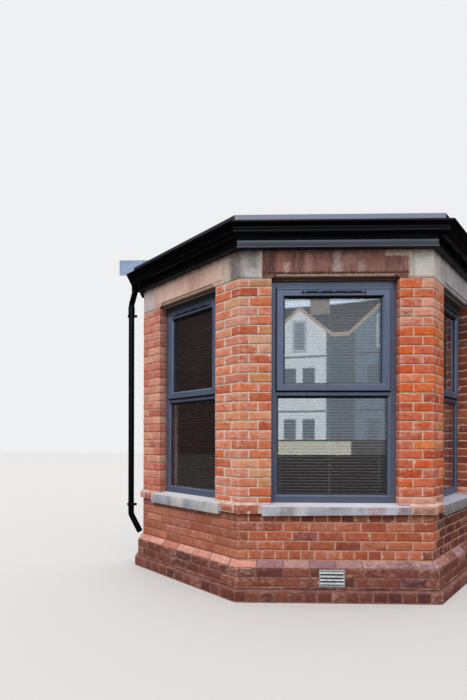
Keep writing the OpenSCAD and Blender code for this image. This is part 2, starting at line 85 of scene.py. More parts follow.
class Graph:
    """The nodes of a material or of the world."""

    def __init__(self, owner, point="Object"):
        owner.use_nodes = True
        self.tree = owner.node_tree
        self.tree.nodes.clear()
        self.point = self.node("ShaderNodeTexCoord").outputs[point]
        self.axes = self.normal = None

    def node(self, kind, inputs=(), **props):
        """A new node. inputs gives its sockets values, or the outputs of other nodes."""
        n = self.tree.nodes.new(kind)
        for key, value in props.items():
            setattr(n, key, value)
        for key, value in dict(inputs).items():
            self.put(n.inputs[key], value)
        return n

    def put(self, socket, value):
        if isinstance(value, bpy.types.NodeSocket):
            self.tree.links.new(value, socket)
        else:
            socket.default_value = value

    def maths(self, op, a, b=0.0):
        return self.node("ShaderNodeMath", {0: a, 1: b}, operation=op).outputs[0]

    def times(self, first, *rest):
        for value in rest:
            first = self.maths("MULTIPLY", first, value)
        return first

    def plus(self, a, b):
        return self.maths("ADD", a, b)

    def minus(self, a, b):
        return self.maths("SUBTRACT", a, b)

    def split(self, vector):
        return self.node("ShaderNodeSeparateXYZ", {0: vector})

    def axis(self, name):
        """One coordinate of the point."""
        self.axes = self.axes or self.split(self.point)
        return self.axes.outputs[name]

    def facing(self, name):
        """One component of the direction in which the surface faces."""
        self.normal = self.normal or self.split(self.node("ShaderNodeNewGeometry").outputs["True Normal"])
        return self.normal.outputs[name]

    def noise(self, scale, detail, rough, stretch=(1, 1, 1), shift=(0, 0, 0), warp=0.0):
        place = self.node("ShaderNodeMapping", {"Vector": self.point, "Scale": stretch, "Location": shift})
        return self.node("ShaderNodeTexNoise", {
            "Vector": place.outputs[0], "Scale": scale, "Detail": detail, "Roughness": rough,
            "Distortion": warp}).outputs["Fac"]

    def band(self, value, low, high, to_low=0.0, to_high=1.0):
        """A smooth step, from to_low at low to to_high at high."""
        return self.node("ShaderNodeMapRange", {
            "Value": value, "From Min": low, "From Max": high, "To Min": to_low, "To Max": to_high},
            clamp=True, interpolation_type="SMOOTHSTEP").outputs[0]

    def mix(self, fac, a, b, blend="MIX"):
        return self.node("ShaderNodeMix", {"Factor": fac, "A": a, "B": b}, data_type="RGBA",
                         blend_type=blend).outputs["Result"]

    def over(self, colour, tint, value, low, high, most=1.0):
        """The colour, under more and more of the tint as the value goes from low to high."""
        return self.mix(self.band(value, low, high, 0, most), colour, tint)

    def mix_shaders(self, fac, a, b):
        return self.node("ShaderNodeMixShader", {0: fac, 1: a.outputs[0], 2: b.outputs[0]}).outputs[0]

    def patch(self, x, z, soft, wobble, scale, seed):
        """A ragged rectangle on the face, from x[0] to x[1] and z[0] to z[1]: 1 inside, 0 outside."""
        def jitter(size, amount, shift):
            return self.times(self.minus(self.noise(size, 2, 0.6, shift=shift), 0.5), amount)

        def inside(place, low, high):
            return self.band(place, low - soft, low + soft), self.band(place, high - soft, high + soft, 1, 0)

        fine = jitter(scale * 4, 1.6 * wobble, (0, seed, 0))
        px = self.plus(self.axis("X"), self.plus(jitter(scale, 2.2 * wobble, (seed, 0, seed)), fine))
        pz = self.plus(self.axis("Z"), self.plus(jitter(scale, 2.2 * wobble, (seed, 9, 0)), fine))
        return self.times(*inside(px, *x), *inside(pz, *z))


class Material(Graph):
    """A principled material. Its points are in the object's own metres."""

    def __init__(self, name, rough, **values):
        self.mat = bpy.data.materials.new(name)
        super().__init__(self.mat)
        inputs = {key.replace("_", " "): value for key, value in values.items()}
        self.bsdf = self.node("ShaderNodeBsdfPrincipled", {"Roughness": rough, **inputs})
        self.out = self.node("ShaderNodeOutputMaterial", {"Surface": self.bsdf.outputs[0]})
        self.under = {}

    def bump(self, height, distance, strength):
        """A bump on top of the ones that are there."""
        n = self.node("ShaderNodeBump", {
            "Strength": strength, "Distance": distance, "Height": height, **self.under})
        self.under = {"Normal": n.outputs[0]}
        self.put(self.bsdf.inputs["Normal"], n.outputs[0])

    def done(self, colour):
        self.put(self.bsdf.inputs["Base Color"], colour)
        return self.mat


def brick_material():
    """Clay in the brick's own tone, with burnt and pale patches, grit, and lime left on it by the pointing. The
    tone also carries painted shade at the brick's foot, head and sides.
    """
    g = Material("brick_face", 0.9, Specular_IOR_Level=0.25)
    tone = g.node("ShaderNodeVertexColor", layer_name="tone")
    col = tone.outputs["Color"]
    for fac, tint in (
            (g.band(g.noise(26, 4, 0.65), 0.38, 0.72), (0.74, 0.66, 0.62, 1)),
            (g.band(g.noise(9, 3, 0.6, shift=(3, 1, 7)), 0.45, 0.75), (1.10, 1.28, 1.34, 1)),
            (g.band(g.noise(210, 3, 0.7), 0.56, 0.75, 0, 0.8), (1.15, 1.7, 2.2, 1)),
            (g.band(g.noise(330, 2, 0.6, shift=(5, 2, 2)), 0.64, 0.74, 0, 0.8), (0.4, 0.4, 0.45, 1))):
        col = g.mix(fac, col, tint, "MULTIPLY")
    # the tone's alpha says how much lime there is; it grows towards the joints
    lime = g.plus(g.noise(20, 5, 0.75, stretch=(0.8, 0.8, 1.8), warp=0.6), g.times(tone.outputs["Alpha"], 0.34))
    g.bump(g.noise(75, 5, 0.7), 0.0022, 0.55)
    g.bump(g.noise(420, 3, 0.7), 0.0008, 0.5)
    return g.done(g.over(col, srgb(222, 178, 160), lime, 0.60, 0.98, 0.72))


def mortar_material(name, light, dark, joint_shade=None, first=0.0, rise=COURSE, west=None):
    """Lime pointing. Where a shade tone is given, each bed joint has painted shade in its upper part, under the
    brick above.

    first is the height of a bed joint, rise that of a course, west the tone on the left canted side.
    """
    g = Material(name, 0.95, Specular_IOR_Level=0.2)
    col = g.over(srgb(*light), srgb(*dark), g.noise(12, 4, 0.7), 0.35, 0.7)
    if west:
        col = g.over(col, srgb(*west), g.axis("X"), -HALF_FRONT + 0.02, -HALF_FRONT - 0.02)
    col = g.mix(g.band(g.noise(260, 2, 0.6), 0.6, 0.72, 0, 0.6), col, (0.7, 0.66, 0.64, 1), "MULTIPLY")
    # painted shade in the upper part of each bed joint
    if joint_shade:
        part = g.maths("FRACT", g.maths("DIVIDE", g.minus(g.axis("Z"), first - rise), rise))
        under = g.times(g.band(part, 0.045, 0.085), g.band(part, 0.16, 0.135))
        col = g.mix(g.times(under, g.band(g.noise(15, 3, 0.6), 0.3, 0.6, 0.35, 0.9)), col, srgb(*joint_shade))
    g.bump(g.noise(60, 5, 0.75), 0.003, 0.6)
    g.bump(g.noise(480, 2, 0.6), 0.0007, 0.6)
    return g.done(col)


def paint(name, rgb, rough=0.35, coat=0.0, spec=0.5, under=None, head_shade=None, dust_and_highlight=0.35):
    """A smooth finish: a slight change of tone, a dusting on top, which made heavy stands also for a painted
    highlight, painted shade on what faces down, and painted shade under a window's head.
    """
    g = Material(name, rough, Coat_Weight=coat, Specular_IOR_Level=spec)
    colour = srgb(*rgb)
    shade = tuple(c * 0.9 for c in colour[:3]) + (1,)
    col = g.over(colour, shade, g.noise(3, 2, 0.5), 0.35, 0.65)
    # a dusting on what faces up; made heavy, it stands also for a painted highlight on up-turned edges
    dust_and_highlight_mask = g.times(g.band(g.facing("Z"), 0.5, 0.9, 0, dust_and_highlight), g.band(g.noise(30, 4, 0.6), 0.3, 0.7, dust_and_highlight))
    col = g.mix(dust_and_highlight_mask, col, srgb(150, 142, 132))
    # painted shade under a window's head
    if head_shade:
        col = g.over(col, head_shade, g.axis("Z"), HEAD_Z - 0.125, HEAD_Z - 0.045, 0.75)
    # painted shade on what faces down
    if under:
        col = g.over(col, under, g.facing("Z"), -0.15, -0.55)
    g.put(g.bsdf.inputs["Roughness"], g.band(g.noise(9, 3, 0.5), 0.3, 0.7, rough * 0.9, rough * 1.15))
    g.bump(g.noise(240, 2, 0.5), 0.0001, 0.2)
    return g.done(col)


def two_tone(name, rough, one, other, tone, low, high, grain, height, strength, most=1.0, metal=0.0):
    """One tone clouded with another, over a fine bump. tone and grain are what their noises are made of."""
    g = Material(name, rough, Metallic=metal)
    g.bump(g.noise(*grain), height, strength)
    return g.done(g.over(srgb(*one), srgb(*other), g.noise(*tone), low, high, most))


BRICK = brick_material()
# the piers' first bed joint and the rise of their courses, on either hand
PIER_COURSES = {"left": (0.9200, 0.08665), "right": (0.9271, 0.08539)}
# pointing: light and dark tones, then where given the painted shade under each brick, the height of a bed joint
# and the rise of a course, and a tone on the left canted side
MORTAR = {name: mortar_material("pointing_" + name, *tones) for name, tones in {
    "left": ((234, 210, 194), (210, 180, 162), (128, 94, 76), *PIER_COURSES["left"]),
    "right": ((230, 196, 172), (206, 162, 136), (134, 92, 68), *PIER_COURSES["right"]),
    "brown": ((212, 156, 136), (192, 134, 114), (112, 68, 54), *PIER_COURSES["left"]),
    "dull": ((216, 168, 148), (190, 138, 118), (108, 66, 52), APRON_Z, COURSE, (166, 112, 92)),
    "low": ((150, 108, 96), (118, 80, 72)),
    "white": ((218, 196, 184), (186, 158, 144)),
}.items()}

# ---- mesh helpers
ROOT = "root"


def new_object(name, data):
    obj = bpy.data.objects.new(name, data)
    bpy.context.scene.collection.objects.link(obj)
    return obj


def add_piece(name, mesh, material, replaces=(), smooth=None):
    """smooth is the angle in degrees above which an edge stays sharp."""
    obj = new_object(name, mesh)
    mesh.materials.append(material)
    if smooth is not None:
        mesh.polygons.foreach_set("use_smooth", [True] * len(mesh.polygons))
        mesh.set_sharp_from_angle(angle=math.radians(smooth))
    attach(obj, ROOT)
    if replaces:
        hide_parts(*replaces)


def node_bmesh(node):
    bm = bmesh.new()
    bm.from_mesh(NODES[node].data)
    bmesh.ops.remove_doubles(bm, verts=bm.verts, dist=1e-5)
    bmesh.ops.dissolve_limit(bm, angle_limit=math.radians(0.5), verts=bm.verts, edges=bm.edges)
    return bm


def skin(node, material):
    """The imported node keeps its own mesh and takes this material."""
    NODES[node].data.materials[0] = material


def soften(bm, width):
    """Bevel the edges at which the surface turns by more than 35 degrees."""
    edges = [e for e in bm.edges if len(e.link_faces) == 2 and e.calc_face_angle(0) > math.radians(35)]
    bmesh.ops.bevel(bm, geom=edges, offset=width, segments=2, profile=0.5, affect="EDGES", clamp_overlap=True)


def add_bmesh(name, bm, material, node, smooth=None):
    mesh = bpy.data.meshes.new(name)
    bm.to_mesh(mesh)
    bm.free()
    add_piece(name, mesh, material, (node,), smooth)


def dressed(node, material, bevel=0.0, smooth=None):
    """The node's own shape with softened edges, standing for the node."""
    bm = node_bmesh(node)
    if bevel:
        soften(bm, bevel)
    add_bmesh(node + "_dressed", bm, material, node, smooth)


class Soup:
    """Vertices and faces collected for one mesh."""

    def __init__(self):
        self.verts, self.faces, self.tones, self.count = [], [], [], 0

    def add(self, verts, faces, tones=None):
        self.verts.append(np.asarray(verts, float))
        self.faces += [tuple(self.count + i for i in f) for f in faces]
        self.tones.append(np.ones((len(verts), 4)) if tones is None else tones)
        self.count += len(verts)

    def box(self, matrix, low, high):
        x, y, z = zip(low, high)
        pts = [matrix @ Vector((x[i], y[j], z[k])) for k in (0, 1) for j in (0, 1) for i in (0, 1)]
        self.add(pts, [(0, 2, 3, 1), (4, 5, 7, 6), (0, 1, 5, 4), (2, 6, 7, 3), (0, 4, 6, 2), (1, 3, 7, 5)])

    def mesh(self, name, tones=False):
        mesh = bpy.data.meshes.new(name)
        mesh.from_pydata(np.concatenate(self.verts).tolist(), [], self.faces)
        if tones:
            layer = mesh.color_attributes.new("tone", "FLOAT_COLOR", "POINT")
            layer.data.foreach_set("color", np.concatenate(self.tones).astype(np.float32).ravel())
        mesh.update()
        return mesh


class Path:
    """A line on the plan. at(u, d) is the point at length u, moved outwards by d and mitred at corners."""

    def __init__(self, points, mirrored=False):
        self.p = np.array(points, float)
        run = np.diff(self.p, axis=0)
        self.length = np.linalg.norm(run, axis=1)
        self.u = np.concatenate([[0], np.cumsum(self.length)])
        n = np.stack([run[:, 1], -run[:, 0]], 1) / self.length[:, None]
        m = [n[0]]
        for a, b in zip(n[:-1], n[1:]):
            m.append((a + b) / (1 + float(a @ b)))
        self.m = np.array(m + [n[-1]])
        self.mirrored = mirrored

    def at(self, u, d):
        i = np.clip(np.searchsorted(self.u, u, side="right") - 1, 0, len(self.length) - 1)
        t = ((u - self.u[i]) / self.length[i])[..., None]
        d = np.asarray(d)[..., None]
        q = (1 - t) * (self.p[i] + d * self.m[i]) + t * (self.p[i + 1] + d * self.m[i + 1])
        if self.mirrored:
            q = q * np.array([-1, 1])
        return q


LEFT_RING = [(-HALF_WALL, 0), (-HALF_WALL, -RETURN_D), (-HALF_FRONT, -PROJECTION)]
RING = LEFT_RING + [(-x, y) for x, y in reversed(LEFT_RING)]
FACE = Path(RING)

# ---- brickwork
EDGE = ((0.0, -0.0055), (0.0012, -0.0020), (0.0045, 0.0))  # rounding of a brick's edge: inset, depth
# tones of bricks: red, green, blue, and the weight of each
VIVID = [(214, 100, 48, 5), (206, 92, 48, 4), (208, 104, 74, 4), (196, 82, 48, 3), (216, 122, 70, 3),
         (194, 124, 68, 1), (176, 74, 46, 1), (150, 78, 60, 0.5)]
SOFT = [(208, 108, 70, 5), (214, 120, 80, 5), (218, 138, 98, 3), (202, 120, 98, 2), (200, 138, 92, 2),
        (190, 92, 62, 2)]
PINK = [(204, 124, 104, 5), (212, 140, 118, 4), (194, 112, 92, 3), (214, 152, 126, 2), (208, 108, 92, 2),
        (182, 104, 86, 1)]
DEEP = [(150, 72, 52, 4), (138, 64, 50, 4), (160, 84, 60, 3), (126, 58, 50, 2), (120, 70, 66, 1)]
BROWN = [(178, 96, 68, 5), (170, 88, 64, 4), (186, 106, 76, 4), (154, 78, 62, 2), (192, 116, 88, 1),
         (140, 72, 62, 0.7)]
DULL = [(176, 104, 78, 4), (168, 98, 74, 4), (186, 116, 88, 3), (176, 106, 92, 2), (156, 88, 70, 2)]
WORN = [(184, 102, 78, 4), (194, 110, 82, 3), (166, 88, 70, 2), (202, 136, 110, 1)]
LOW = [(122, 68, 56, 4), (110, 60, 52, 3), (136, 78, 64, 3), (100, 58, 56, 2)]
PINKISH = [(202, 138, 122, 3), (190, 120, 104, 3), (210, 154, 140, 2), (180, 116, 112, 1)]
LILAC = [(150, 112, 118, 3), (164, 124, 124, 3), (138, 102, 108, 2), (176, 136, 130, 1)]
BORDER, BITE = 0.0046, 0.42  # worn strip along a brick's edges; noise above which a chip has come off
STRETCHER, HEADER = 0.223, 0.111


def edge_lines(low, high, step, corners=()):
    inner = max(1, round((high - low - 2 * EDGE[-1][0]) / step))
    lines = [low + s for s, _ in EDGE] + [high - s for s, _ in EDGE]
    start, stop = low + EDGE[-1][0], high - EDGE[-1][0]
    lines += [start + (stop - start) * i / inner for i in range(1, inner)]
    for c in corners:
        if low + 0.012 < c < high - 0.012:
            lines = [v for v in lines if abs(v - c) > 0.009] + [c - 0.004, c, c + 0.004]
    return np.array(sorted(lines))


def edge_depth(lines, low, high):
    s = np.minimum(lines - low, high - lines)
    return np.interp(s, [e[0] for e in EDGE], [e[1] for e in EDGE])


def near(distance, reach):
    """1 where the distance is nothing, falling to 0 at the reach."""
    return np.clip(1 - distance / reach, 0, 1)


def brick(soup, path, u0, u1, z0, z1, rng, out=PROUD, tones=VIVID, smear=(0.15, 0.85), slope=None, depth=0.012,
          rough=1.0, dark=1.0, step=0.026, foot=0.0, head=0.0):
    """One worn brick as a shell on the path. slope gives the outward offset at its foot and head instead of out.

    smear is how much lime lies on it, foot and head how much painted shade darkens its lower and upper edges; its
    sides back in the joints get painted shade as well.
    """
    u0 += rng.uniform(-0.0012, 0.0012) * rough
    u1 += rng.uniform(-0.0012, 0.0012) * rough
    z0 += rng.uniform(-0.001, 0.001) * rough
    z1 += rng.uniform(-0.001, 0.001) * rough
    us = edge_lines(u0, u1, step, path.u[1:-1])
    zs = edge_lines(z0, z1, step)
    if foot:
        zs = np.sort(np.append(zs, z0 + 0.0105))
    U, Z = np.meshgrid(us, zs)
    rnd = np.add.outer(edge_depth(zs, z0, z1), edge_depth(us, u0, u1))
    D = np.maximum(rnd, -0.0075)
    for c in path.u[1:-1]:
        D = D - 0.0018 * (np.abs(U - c) < 0.002)
    base = out if slope is None else slope[0] + (slope[1] - slope[0]) * (Z - z0) / (z1 - z0)
    seed = rng.uniform(0, 900)
    lean = rng.uniform(-0.0009, 0.0009) * rough
    border_u = np.minimum(U - u0, u1 - U) < BORDER
    border_z = np.minimum(Z - z0, z1 - Z) < BORDER
    for j in range(U.shape[0]):
        for i in range(U.shape[1]):
            p = Vector((U[j, i] * 22 + seed, Z[j, i] * 22, seed))
            n1 = noise.noise(p)
            n2 = noise.noise(p * 2.7)
            D[j, i] += rough * (0.0011 * n1 + 0.0006 * n2) + lean
            if border_u[j, i]:
                U[j, i] += rough * 0.0022 * n2
            if border_z[j, i]:
                Z[j, i] += rough * 0.0018 * n1
            bite = n1 + 0.5 * n2
            if (border_u[j, i] or border_z[j, i]) and bite > BITE:
                D[j, i] -= rough * min(0.006, (bite - BITE) * 0.022)
    rows, cols = U.shape
    U = np.clip(U, path.u[0], path.u[-1])
    xy = path.at(U.ravel(), (base + D).ravel())
    verts = np.column_stack([xy, Z.ravel()])
    faces = [(j * cols + i, j * cols + i + 1, (j + 1) * cols + i + 1, (j + 1) * cols + i)
             for j in range(rows - 1) for i in range(cols - 1)]
    rim = [*range(cols), *(j * cols + cols - 1 for j in range(1, rows)),
           *((rows - 1) * cols + i for i in range(cols - 2, -1, -1)), *(j * cols for j in range(rows - 2, 0, -1))]
    back = (base if slope is not None else np.full(U.shape, base)) - depth
    xyb = path.at(U.ravel()[rim], back.ravel()[rim])
    verts = np.vstack([verts, np.column_stack([xyb, Z.ravel()[rim]])])
    n, first = len(rim), rows * cols
    faces += [(rim[(k + 1) % n], rim[k], first + k, first + (k + 1) % n) for k in range(n)]
    if path.mirrored:
        faces = [tuple(reversed(f)) for f in faces]
    tone = rng.choices([t[:3] for t in tones], [t[3] for t in tones])[0]
    shade = rng.uniform(0.94, 1.05) * dark
    rgb = srgb(*[min(255, c * shade) for c in tone])[:3]
    # painted shade along the foot and head of the face
    painted_shade = (1 - foot * near(Z - z0, 0.010) - head * near(z1 - Z, 0.03)).ravel()
    lime = rng.uniform(*smear) + 0.35 * near(np.minimum(np.minimum(U - u0, u1 - U), z1 - Z), 0.009).ravel()
    for c in path.u[1:-1]:
        lime = lime + 0.5 * near(np.abs(U - c), 0.008).ravel()
    # painted shade on the sides, going back into the joints
    painted_shade = np.concatenate([painted_shade, np.full(n, 0.7)])
    lime = np.concatenate([lime, np.full(n, lime.mean())])
    soup.add(verts, faces, np.column_stack([np.outer(painted_shade, rgb), lime]))


def run_between(a, b, unit, rng):
    """Whole units from a to b, with one cut brick somewhere in the run."""
    n = int((b - a + JOINT) / (unit + JOINT))
    rest = (b - a) - n * (unit + JOINT)
    sizes = [unit] * n
    if rest > 0.03:
        sizes.insert(rng.randrange(n + 1), rest)
    scale = (b - a - (len(sizes) - 1) * JOINT) / sum(sizes)
    out, u = [], a
    for s in sizes:
        out.append((u, u + s * scale))
        u += s * scale + JOINT
    return out


LONG, SHORT = 0.169, 0.087  # the two legs of a brick that turns a corner


def full_row(kind, rng):
    """Brick cuts of one course round the bay: bricks that turn each corner, and whole ones between them."""
    left, right = ((SHORT, LONG), (LONG, SHORT)) if kind == "long" else ((LONG, SHORT), (SHORT, LONG))
    legs = {C1: left, C2: left, C3: right, C4: right}
    unit = STRETCHER
    if kind == "header":
        unit, legs[C1], legs[C4] = HEADER, (SHORT, LONG), (LONG, SHORT)
    cuts, start = [], 0.0
    for c in (C1, C2, C3, C4, END + LONG):
        back, on = legs.get(c, (LONG - JOINT, 0))
        stop = c - back - JOINT
        if stop - start > 0.012:
            cuts += run_between(start, stop, unit, rng) if stop - start > 0.12 else [(start, stop)]
        if c < END:
            cuts.append((c - back, c + on))
            start = c + on + JOINT
    return cuts


def cut_plane_bricks(soup, z0, z1, outer, inner, rng, row, mirrored):
    """Sawn brick ends on the plane where the bay leaves the house wall."""
    path = Path([(-HALF_WALL + inner, 0), (-HALF_WALL - outer, 0)], mirrored)
    width = inner + outer
    cuts = [(0.0, width)] if row % 2 else [(0.0, inner - 0.1125), (inner - 0.1025, width)]
    if inner > 0.26:
        cuts = [(0.0, 0.06), (0.07, width)] if row % 2 else [(0.0, 0.17), (0.18, width)]
    for a, b in cuts:
        brick(soup, path, a, b, z0, z1, rng, out=-0.0006, rough=0.0, depth=0.006, smear=(0.0, 0.2), step=0.06)


def add_bricks(name, soup):
    add_piece(name, soup.mesh(name, True), BRICK, smooth=50)


rng = random.Random(11)

# plinth: a ledge of headers, a thin course and two full ones, with a gap for the air vent
VENT_MID, VENT_HALF = C2 + HALF_FRONT - 0.045, 0.107
VENT = (VENT_MID - VENT_HALF, VENT_MID + VENT_HALF)
soup = Soup()
for a, b in full_row("header", rng):
    brick(soup, FACE, a, b, 0.012, LEDGE_Z - 0.002, rng, out=LEDGE_OUT + 0.002, tones=LOW, smear=(0.0, 0.5))
for z0, z1, kind in ((0.100, 0.128, "long"), (0.128, 0.213, "short"), (0.213, 0.298, "long")):
    for a, b in full_row(kind, rng):
        pieces = [(a, b)]
        if z1 > 0.13 and b > VENT[0] and a < VENT[1]:
            pieces = [p for p in ((a, min(b, VENT[0])), (max(a, VENT[1]), b)) if p[1] - p[0] > 0.02]
        for p, q in pieces:
            brick(soup, FACE, p, q, z0 + JOINT, z1, rng, out=PLINTH_OUT + PROUD, tones=LOW, smear=(0.0, 0.6),
                  foot=0.3)
for mirrored in (False, True):
    for k, (z0, z1, outer, inner) in enumerate((
            (0.012, 0.098, LEDGE_OUT, 0.29), (0.110, 0.176, PLINTH_OUT, 0.29),
            (0.186, 0.294, PLINTH_OUT, WALL_T))):
        cut_plane_bricks(soup, z0, z1, outer, inner, rng, k, mirrored)
add_bricks("plinth_bricks", soup)

# splayed course
soup = Soup()
for a, b in full_row("long", rng):
    brick(soup, FACE, a, b, PLINTH_Z + 0.004, APRON_Z - 0.001, rng, slope=(PLINTH_OUT + 0.001, 0.004),
          tones=PINKISH if b < C2 + 0.2 else LILAC if b < C3 else LILAC + LOW, smear=(0.1, 0.8))
add_bricks("splay_bricks", soup)

# apron, from its foot up; the course under the sills has painted shade, most at its top
soup = Soup()
for k, kind in enumerate(("header", "long", "short", "long", "header")):
    z0 = APRON_Z + k * COURSE
    for a, b in full_row(kind, rng):
        # painted shade on the course under the sills: darker all over, and more at its top
        dark = (0.8 if a > C3 else 1.0) - (0.12 if k == 4 else 0)
        brick(soup, FACE, a, b, z0 + JOINT, z0 + COURSE, rng, tones=DULL if a < C2 else BROWN if a < C3 else DEEP,
              smear=(0.0, 0.5), dark=dark, foot=0.2 if a < C2 else 0.4, head=0.0 if k < 4 else 0.5)
for mirrored in (False, True):
    for k in range(5):
        z0 = APRON_Z + k * COURSE
        cut_plane_bricks(soup, z0 + JOINT, z0 + COURSE, 0.0, WALL_T, rng, k, mirrored)
add_bricks("apron_bricks", soup)

# string course between the sills
SILL_HORNS = 0.168  # how much longer a sill is than its opening is wide
soup = Soup()
half_left, half_front = ((OPEN_W[side] + SILL_HORNS) / 2 for side in ("left", "front"))
cant_mid = C1 + CANT_LEN / 2
a_left, b_left = cant_mid - half_left - 0.006, cant_mid + half_left + 0.008
a_front = C2 + HALF_FRONT - half_front - 0.022
for mirrored in (False, True):
    path = Path(RING, mirrored)
    for a, b in ((0.0, 0.085), (0.095, C1 + 0.06), (C1 + 0.075, a_left),
                 (b_left, C2 - 0.052), (C2 - 0.040, a_front + 0.012 * mirrored)):
        brick(soup, path, a, b, SILL_Z + 0.002, PIER_Z - 0.012, rng, out=STRING_OUT + 0.002, rough=1.4,
              tones=DEEP if mirrored and a > C2 - 0.1 else WORN, smear=(0.4, 1.0))
    cut_plane_bricks(soup, SILL_Z + JOINT, PIER_Z - 0.001, 0.0, WALL_T, rng, 1, mirrored)
add_bricks("string_bricks", soup)

# piers: their bricks turn into the reveals
REVEAL = {side: depth - 0.0005 for side, depth in RECESS.items()}
COURSES = 24
jamb_cant = FACE.at(np.array([C1 + PIER_W, C2 - PIER_W]), np.zeros(2))
inward = np.full(2, math.sqrt(0.5))
jamb_front = (-HALF_FRONT + PIER_W, -PROJECTION)
# each pier's tones, lime smear, and painted shade at the foot of each brick
PIER_LOOK = {"wall_pier_left": (PINK, (0.1, 0.7), 0.25), "corner_pier_left": (SOFT, (0.2, 0.95), 0.45),
             "corner_pier_right": (VIVID, (0.0, 0.7), 0.4), "wall_pier_right": (DEEP, (0.0, 0.5), 0.3)}
for mirrored in (False, True):
    hand = "right" if mirrored else "left"
    first, rise = PIER_COURSES[hand]
    wall_path = Path([(-HALF_WALL, 0), (-HALF_WALL, -RETURN_D), jamb_cant[0],
                      jamb_cant[0] + inward * REVEAL["left"]], mirrored)
    corner_path = Path([jamb_cant[1] + inward * REVEAL["left"], jamb_cant[1], (-HALF_FRONT, -PROJECTION),
                        jamb_front, (jamb_front[0], jamb_front[1] + REVEAL["front"])], mirrored)
    # bend is the path's point at the corner that its long bricks turn
    for name, path, bend in (("wall_pier", wall_path, 1), ("corner_pier", corner_path, 2)):
        soup = Soup()
        c = path.u[bend]
        for k in range(COURSES):
            z0 = PIER_Z + JOINT if k == 0 else first + (k - 1) * rise + JOINT
            z1 = HEAD_Z - 0.004 if k == COURSES - 1 else first + k * rise
            back, on = (LONG, SHORT) if (k + bend) % 2 else (SHORT, LONG)
            for a, b in ((0.0, c - back - JOINT), (c - back, c + on), (c + on + JOINT, path.u[-1])):
                if b - a < 0.012:
                    continue
                tones, smear, foot = PIER_LOOK[f"{name}_{hand}"]
                if mirrored and k == 0:
                    tones, smear = PINK, (0.6, 1.1)
                elif mirrored and name == "corner_pier" and k > 18:
                    smear = (0.4, 1.2)
                elif name == "corner_pier" and not mirrored and b < c + 0.12:
                    smear = (0.4, 1.0)
                brick(soup, path, a, b, z0, z1, rng, tones=tones, smear=smear, depth=0.010, foot=foot)
            if name == "wall_pier":
                cut_plane_bricks(soup, z0, z1, 0.0, WALL_T, rng, k, mirrored)
        add_bricks(f"{name}_bricks_{hand}", soup)

for node, mortar in (("plinth_wall", "low"), ("plinth_splay", "low"), ("wall_pier_right", "right"),
                     ("corner_pier_right", "right"), ("corner_pier_left", "left"), ("wall_pier_left", "brown"),
                     ("apron_wall", "dull"), ("string_course", "white")):
    skin(node, MORTAR[mortar])


# ---- stones
def stain_and_painted_light(g, col, x0, x1, z0, z1, amount, tint, seed, soft=0.02, wobble=0.03, scale=18):
    """The colour with a spot from x0 to x1 and z0 to z1. soft, wobble and scale shape its ragged edge."""
    mottle = g.band(g.noise(60, 5, 0.8, shift=(seed, 4, 0)), 0.40, 0.56, 0.3 * amount, amount)
    return g.mix(g.times(g.patch((x0, x1), (z0, z1), soft, wobble, scale, seed), mottle), col, srgb(*tint))


def stone(name, base, other, spots, speck=(120, 104, 96), scale=9.0, streak=None):
    """A sandstone's graph and colour: two tones, dark specks, tooling, small pits and its own spots: stains, and
    along the lintels' moulding painted highlight and painted shade.

    A spot is its x0, x1, z0, z1, amount, tint and seed, then soft, wobble and scale if given. A streak is its x
    from and to, amount, tint and seed.
    """
    g = Material(name, 0.88, Specular_IOR_Level=0.3)
    g.bump(g.noise(30, 5, 0.7), 0.0035, 0.45)
    g.bump(g.noise(260, 3, 0.7), 0.0009, 0.6)
    col = g.over(srgb(*base), srgb(*other), g.noise(scale, 5, 0.65, stretch=(1, 1, 0.6)), 0.35, 0.68)
    col = g.over(col, srgb(*speck), g.noise(300, 2, 0.6), 0.6, 0.75, 0.35)
    if streak:
        x, amount, tint, seed = streak
        runs = g.noise(13, 4, 0.65, stretch=(1, 1, 0.16), shift=(seed, 0, 0), warp=0.3)
        fac = g.times(g.band(runs, 0.5, 0.66, 0, amount), g.patch(x, (2.8, 3.3), 0.015, 0.02, 18, seed))
        col = g.mix(fac, col, srgb(*tint))
    # spots: stains, and along the lintels' moulding painted highlight and painted shade
    for spot in spots:
        col = stain_and_painted_light(g, col, *spot)
    return g, col


def head_stone(nodes, name, base, other, spots=(), streak=None):
    g, col = stone(name, base, other, spots, streak=streak)
    # painted shadow under the eaves, broken up along the stone; painted shade on the foot of the moulding and on
    # what faces down
    eaves_shadow = g.times(g.band(g.axis("Z"), PLATE_Z - 0.06, PLATE_Z - 0.012),
                   g.band(g.noise(14, 4, 0.7), 0.35, 0.65, 0.3, 0.85))
    col = g.mix(eaves_shadow, col, srgb(80, 60, 48))
    col = g.over(col, srgb(104, 80, 64), g.axis("Z"), HEAD_Z + 0.025, HEAD_Z + 0.012, 0.5)
    g.done(g.over(col, srgb(62, 46, 38), g.facing("Z"), -0.35, -0.8, 0.85))
    for node in nodes:
        dressed(node, g.mat, bevel=0.0035)


